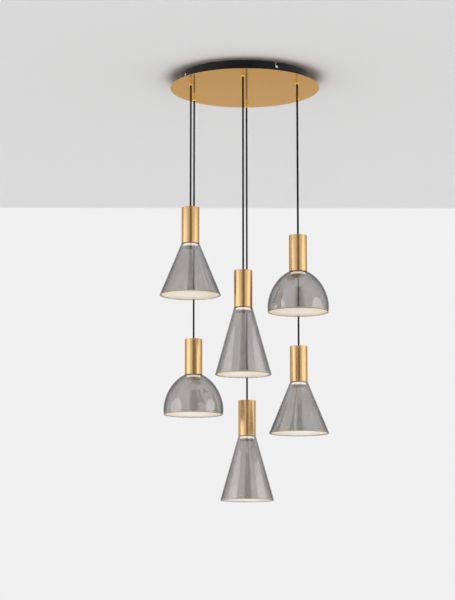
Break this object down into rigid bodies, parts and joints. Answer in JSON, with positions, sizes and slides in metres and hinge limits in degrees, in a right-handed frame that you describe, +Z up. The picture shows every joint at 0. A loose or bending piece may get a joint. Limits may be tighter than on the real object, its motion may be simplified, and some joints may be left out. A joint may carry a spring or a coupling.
{
  "type": "cluster pendant light",
  "caption": "Cluster pendant light: lamps with smoked glass cones and domes under gold cups, hung on black cords from a gold disc below a round black canopy.",
  "frame": {"origin": "on the ceiling, at the centre of the bracket's fixing circle", "axes": "+Z up into the ceiling, -Y towards the front of the picture, +X to its right"},
  "size_m": [0.5601, 0.5856, 1.406],
  "materials": {
    "black_enamel": "satin black enamel",
    "gold_disc": "polished gold plate with a soft mirror",
    "gold_cup": "satin gold plate, fine turning marks",
    "brass_fitting": "turned and polished brass",
    "black_cord": "black woven sleeve",
    "zinc_steel": "bright zinc plate",
    "cast_aluminium": "die-cast, bare",
    "board_white": "white solder mask, yellow emitter",
    "opal_cap": "opal acrylic, lit",
    "opal_disc": "opal acrylic, lit",
    "smoked_glass": "smoked glass with a thin mirror coat",
    "white_plastic": "moulded polycarbonate",
    "lead_sleeve": "cable sleeves"
  },
  "bodies": {
    "bracket": {"ceiling_bracket": "zinc_steel", "bracket_screws": "zinc_steel"},
    "canopy": {"canopy_pan": "black_enamel", "face_disc": "gold_disc", "cord_grips": "brass_fitting", "grip_clamp_screws": "zinc_steel", "grip_nuts": "zinc_steel", "cord_tails": "black_cord", "led_driver": "white_plastic", "terminal_blocks": "white_plastic", "earth_stud": "zinc_steel", "internal_leads": "lead_sleeve"},
    "hanging_cord_1": {"cord_1": "black_cord"},
    "lamp_1": {"cup_1": "gold_cup", "cord_anchor_1": "zinc_steel", "heat_sink_1": "cast_aluminium", "led_board_1": "board_white", "light_cap_1": "opal_cap", "glass_shade_1": "smoked_glass", "mouth_disc_1": "opal_disc"},
    "hanging_cord_2": {"cord_2": "black_cord"},
    "lamp_2": {"cup_2": "gold_cup", "cord_anchor_2": "zinc_steel", "heat_sink_2": "cast_aluminium", "led_board_2": "board_white", "light_cap_2": "opal_cap", "glass_shade_2": "smoked_glass", "mouth_disc_2": "opal_disc"},
    "hanging_cord_3": {"cord_3": "black_cord"},
    "lamp_3": {"cup_3": "gold_cup", "cord_anchor_3": "zinc_steel", "heat_sink_3": "cast_aluminium", "led_board_3": "board_white", "light_cap_3": "opal_cap", "glass_shade_3": "smoked_glass", "mouth_disc_3": "opal_disc"},
    "hanging_cord_4": {"cord_4": "black_cord"},
    "lamp_4": {"cup_4": "gold_cup", "cord_anchor_4": "zinc_steel", "heat_sink_4": "cast_aluminium", "led_board_4": "board_white", "light_cap_4": "opal_cap", "glass_shade_4": "smoked_glass", "mouth_disc_4": "opal_disc"},
    "hanging_cord_5": {"cord_5": "black_cord"},
    "lamp_5": {"cup_5": "gold_cup", "cord_anchor_5": "zinc_steel", "heat_sink_5": "cast_aluminium", "led_board_5": "board_white", "light_cap_5": "opal_cap", "glass_shade_5": "smoked_glass", "mouth_disc_5": "opal_disc"},
    "hanging_cord_6": {"cord_6": "black_cord"},
    "lamp_6": {"cup_6": "gold_cup", "cord_anchor_6": "zinc_steel", "heat_sink_6": "cast_aluminium", "led_board_6": "board_white", "light_cap_6": "opal_cap", "glass_shade_6": "smoked_glass", "mouth_disc_6": "opal_disc"}
  },
  "joints": [
    {"name": "canopy_twist", "type": "hinge", "parent": "bracket", "child": "canopy", "pos_m": [0, 0, 0], "axis": [0, 0, 1], "range_deg": [-2.2, 0]},
    {"name": "swing_1", "type": "hinge", "parent": "canopy", "child": "hanging_cord_1", "pos_m": [-0.18006, -0.09373, -0.0465], "axis": [1, 0, 0], "range_deg": [-6, 6]},
    {"name": "raise_1", "type": "slide", "parent": "hanging_cord_1", "child": "lamp_1", "axis": [0, 0, 1], "range_m": [0, 0.227], "deforming": ["cord_1"]},
    {"name": "swing_2", "type": "hinge", "parent": "canopy", "child": "hanging_cord_2", "pos_m": [-0.00886, -0.20281, -0.0465], "axis": [1, 0, 0], "range_deg": [-6, 6]},
    {"name": "raise_2", "type": "slide", "parent": "hanging_cord_2", "child": "lamp_2", "axis": [0, 0, 1], "range_m": [0, 0.4], "deforming": ["cord_2"]},
    {"name": "swing_3", "type": "hinge", "parent": "canopy", "child": "hanging_cord_3", "pos_m": [0.17121, -0.10907, -0.0465], "axis": [1, 0, 0], "range_deg": [-6, 6]},
    {"name": "raise_3", "type": "slide", "parent": "hanging_cord_3", "child": "lamp_3", "axis": [0, 0, 1], "range_m": [0, 0.323], "deforming": ["cord_3"]},
    {"name": "swing_4", "type": "hinge", "parent": "canopy", "child": "hanging_cord_4", "pos_m": [0.18006, 0.09373, -0.0465], "axis": [1, 0, 0], "range_deg": [-6, 6]},
    {"name": "raise_4", "type": "slide", "parent": "hanging_cord_4", "child": "lamp_4", "axis": [0, 0, 1], "range_m": [0, 0.4], "deforming": ["cord_4"]},
    {"name": "swing_5", "type": "hinge", "parent": "canopy", "child": "hanging_cord_5", "pos_m": [0.00886, 0.20281, -0.0465], "axis": [1, 0, 0], "range_deg": [-6, 6]},
    {"name": "raise_5", "type": "slide", "parent": "hanging_cord_5", "child": "lamp_5", "axis": [0, 0, 1], "range_m": [0, 0.4], "deforming": ["cord_5"]},
    {"name": "swing_6", "type": "hinge", "parent": "canopy", "child": "hanging_cord_6", "pos_m": [-0.17121, 0.10907, -0.0465], "axis": [1, 0, 0], "range_deg": [-6, 6]},
    {"name": "raise_6", "type": "slide", "parent": "hanging_cord_6", "child": "lamp_6", "axis": [0, 0, 1], "range_m": [0, 0.4], "deforming": ["cord_6"]}
  ]
}
